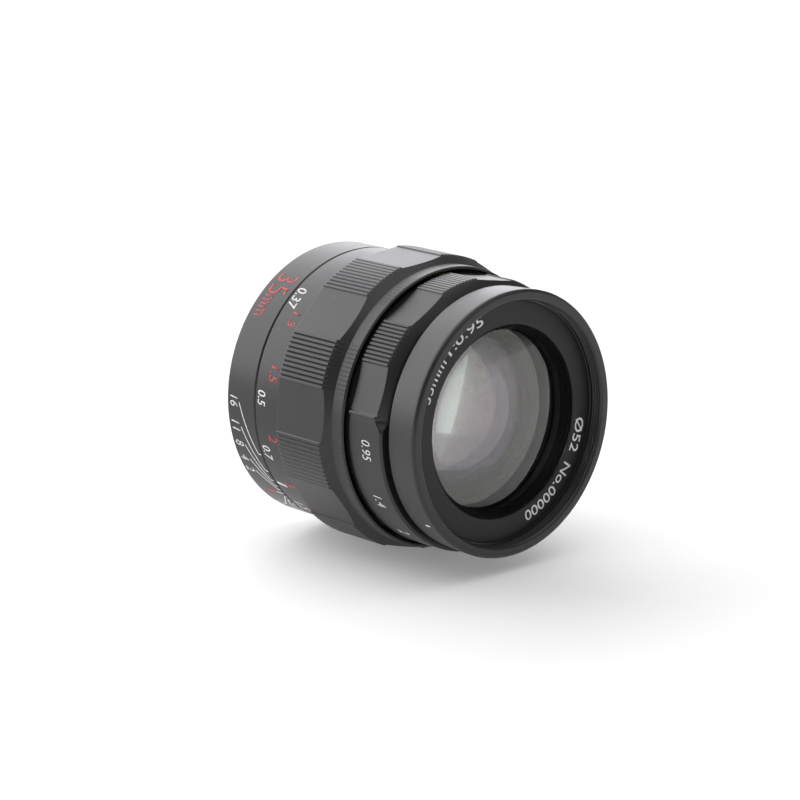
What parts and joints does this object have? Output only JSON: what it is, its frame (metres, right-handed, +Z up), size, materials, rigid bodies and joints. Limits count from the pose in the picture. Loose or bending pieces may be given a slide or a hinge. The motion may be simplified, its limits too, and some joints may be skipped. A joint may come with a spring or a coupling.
{
  "type": "prime camera lens",
  "caption": "Fast manual prime camera lens with scalloped focus ring, clickless aperture ring, iris, moving optical unit and a three-lug bayonet mount.",
  "frame": {"origin": "centre of the mount's flange face, on the optical axis", "axes": "+Y along the optical axis towards the camera body (bayonet side), front of the lens at -Y, +Z up with the lens lying on its side, +X to the right seen from the front"},
  "size_m": [0.0628, 0.0616, 0.0629],
  "materials": {
    "black_anodised": "satin black anodised",
    "flocked_black": "matt black, light absorbing",
    "mount_steel": "fine turned",
    "screw_steel": "plain",
    "helicoid_brass": "turned, greased",
    "black_plastic": "matt moulded",
    "blade_steel": "blackened spring steel",
    "optical_glass": "polished, coated"
  },
  "bodies": {
    "fixed_barrel": {"mount_flange": "mount_steel", "mount_screws": "screw_steel", "rear_baffle": "black_plastic", "rear_barrel": "black_anodised", "focus_retaining_ring": "black_anodised", "guide_keys": "helicoid_brass", "guide_key_screws": "screw_steel"},
    "focus_ring": {"focus_ring": "black_anodised", "helicoid_ring": "helicoid_brass", "focus_set_screws": "screw_steel", "focus_stop_pin": "screw_steel"},
    "front_group": {"carrier_tube": "black_anodised", "front_barrel": "black_anodised", "name_ring": "flocked_black", "front_cell": "flocked_black", "front_retaining_ring": "flocked_black", "front_spacer": "flocked_black", "second_retaining_ring": "flocked_black", "third_spacer": "flocked_black", "iris_base_ring": "flocked_black", "rear_cell": "flocked_black", "rear_retaining_ring": "flocked_black", "rear_spacer_1": "flocked_black", "rear_spacer_2": "flocked_black", "rear_spacer_3": "flocked_black", "element_01": "optical_glass", "element_02": "optical_glass", "element_03": "optical_glass", "element_04": "optical_glass", "element_05": "optical_glass", "element_06": "optical_glass", "element_07": "optical_glass", "element_08": "optical_glass", "element_09": "optical_glass", "element_10": "optical_glass", "element_11": "optical_glass"},
    "aperture_ring": {"aperture_ring": "black_anodised", "aperture_drive_pin": "screw_steel", "iris_rotor": "flocked_black"},
    "iris_blade_01": {"iris_blade_01": "blade_steel"},
    "iris_blade_02": {"iris_blade_02": "blade_steel"},
    "iris_blade_03": {"iris_blade_03": "blade_steel"},
    "iris_blade_04": {"iris_blade_04": "blade_steel"},
    "iris_blade_05": {"iris_blade_05": "blade_steel"},
    "iris_blade_06": {"iris_blade_06": "blade_steel"},
    "iris_blade_07": {"iris_blade_07": "blade_steel"},
    "iris_blade_08": {"iris_blade_08": "blade_steel"},
    "iris_blade_09": {"iris_blade_09": "blade_steel"},
    "iris_blade_10": {"iris_blade_10": "blade_steel"},
    "iris_blade_11": {"iris_blade_11": "blade_steel"},
    "iris_blade_12": {"iris_blade_12": "blade_steel"}
  },
  "joints": [
    {"name": "focus_turn", "type": "hinge", "parent": "fixed_barrel", "child": "focus_ring", "pos_m": [0, -0.025, 0], "axis": [0, -1, 0], "range_deg": [-29, 84]},
    {"name": "front_slide", "type": "slide", "parent": "fixed_barrel", "child": "front_group", "axis": [0, -1, 0], "range_m": [-0.00112, 0.00323]},
    {"name": "aperture_turn", "type": "hinge", "parent": "front_group", "child": "aperture_ring", "pos_m": [0, -0.043, 0], "axis": [0, -1, 0], "range_deg": [-71, 34]},
    {"name": "iris_blade_01_swing", "type": "hinge", "parent": "front_group", "child": "iris_blade_01", "pos_m": [0.0204, -0.02742, 0], "axis": [0, -1, 0], "range_deg": [-20.45, 9.82]},
    {"name": "iris_blade_02_swing", "type": "hinge", "parent": "front_group", "child": "iris_blade_02", "pos_m": [0.01767, -0.02731, 0.0102], "axis": [0, -1, 0], "range_deg": [-20.45, 9.82]},
    {"name": "iris_blade_03_swing", "type": "hinge", "parent": "front_group", "child": "iris_blade_03", "pos_m": [0.0102, -0.0272, 0.01767], "axis": [0, -1, 0], "range_deg": [-20.45, 9.82]},
    {"name": "iris_blade_04_swing", "type": "hinge", "parent": "front_group", "child": "iris_blade_04", "pos_m": [0, -0.02709, 0.0204], "axis": [0, -1, 0], "range_deg": [-20.45, 9.82]},
    {"name": "iris_blade_05_swing", "type": "hinge", "parent": "front_group", "child": "iris_blade_05", "pos_m": [-0.0102, -0.02698, 0.01767], "axis": [0, -1, 0], "range_deg": [-20.45, 9.82]},
    {"name": "iris_blade_06_swing", "type": "hinge", "parent": "front_group", "child": "iris_blade_06", "pos_m": [-0.01767, -0.02687, 0.0102], "axis": [0, -1, 0], "range_deg": [-20.45, 9.82]},
    {"name": "iris_blade_07_swing", "type": "hinge", "parent": "front_group", "child": "iris_blade_07", "pos_m": [-0.0204, -0.02676, 0], "axis": [0, -1, 0], "range_deg": [-20.45, 9.82]},
    {"name": "iris_blade_08_swing", "type": "hinge", "parent": "front_group", "child": "iris_blade_08", "pos_m": [-0.01767, -0.02665, -0.0102], "axis": [0, -1, 0], "range_deg": [-20.45, 9.82]},
    {"name": "iris_blade_09_swing", "type": "hinge", "parent": "front_group", "child": "iris_blade_09", "pos_m": [-0.0102, -0.02654, -0.01767], "axis": [0, -1, 0], "range_deg": [-20.45, 9.82]},
    {"name": "iris_blade_10_swing", "type": "hinge", "parent": "front_group", "child": "iris_blade_10", "pos_m": [0, -0.02643, -0.0204], "axis": [0, -1, 0], "range_deg": [-20.45, 9.82]},
    {"name": "iris_blade_11_swing", "type": "hinge", "parent": "front_group", "child": "iris_blade_11", "pos_m": [0.0102, -0.02632, -0.01767], "axis": [0, -1, 0], "range_deg": [-20.45, 9.82]},
    {"name": "iris_blade_12_swing", "type": "hinge", "parent": "front_group", "child": "iris_blade_12", "pos_m": [0.01767, -0.02621, -0.0102], "axis": [0, -1, 0], "range_deg": [-20.45, 9.82]}
  ],
  "couplings": [
    {"joint": "front_slide", "follows": "focus_turn", "m_per_rad": 0.0021963},
    {"joint": "iris_blade_01_swing", "follows": "aperture_turn", "ratio": 0.28738},
    {"joint": "iris_blade_02_swing", "follows": "aperture_turn", "ratio": 0.28738},
    {"joint": "iris_blade_03_swing", "follows": "aperture_turn", "ratio": 0.28738},
    {"joint": "iris_blade_04_swing", "follows": "aperture_turn", "ratio": 0.28738},
    {"joint": "iris_blade_05_swing", "follows": "aperture_turn", "ratio": 0.28738},
    {"joint": "iris_blade_06_swing", "follows": "aperture_turn", "ratio": 0.28738},
    {"joint": "iris_blade_07_swing", "follows": "aperture_turn", "ratio": 0.28738},
    {"joint": "iris_blade_08_swing", "follows": "aperture_turn", "ratio": 0.28738},
    {"joint": "iris_blade_09_swing", "follows": "aperture_turn", "ratio": 0.28738},
    {"joint": "iris_blade_10_swing", "follows": "aperture_turn", "ratio": 0.28738},
    {"joint": "iris_blade_11_swing", "follows": "aperture_turn", "ratio": 0.28738},
    {"joint": "iris_blade_12_swing", "follows": "aperture_turn", "ratio": 0.28738}
  ]
}
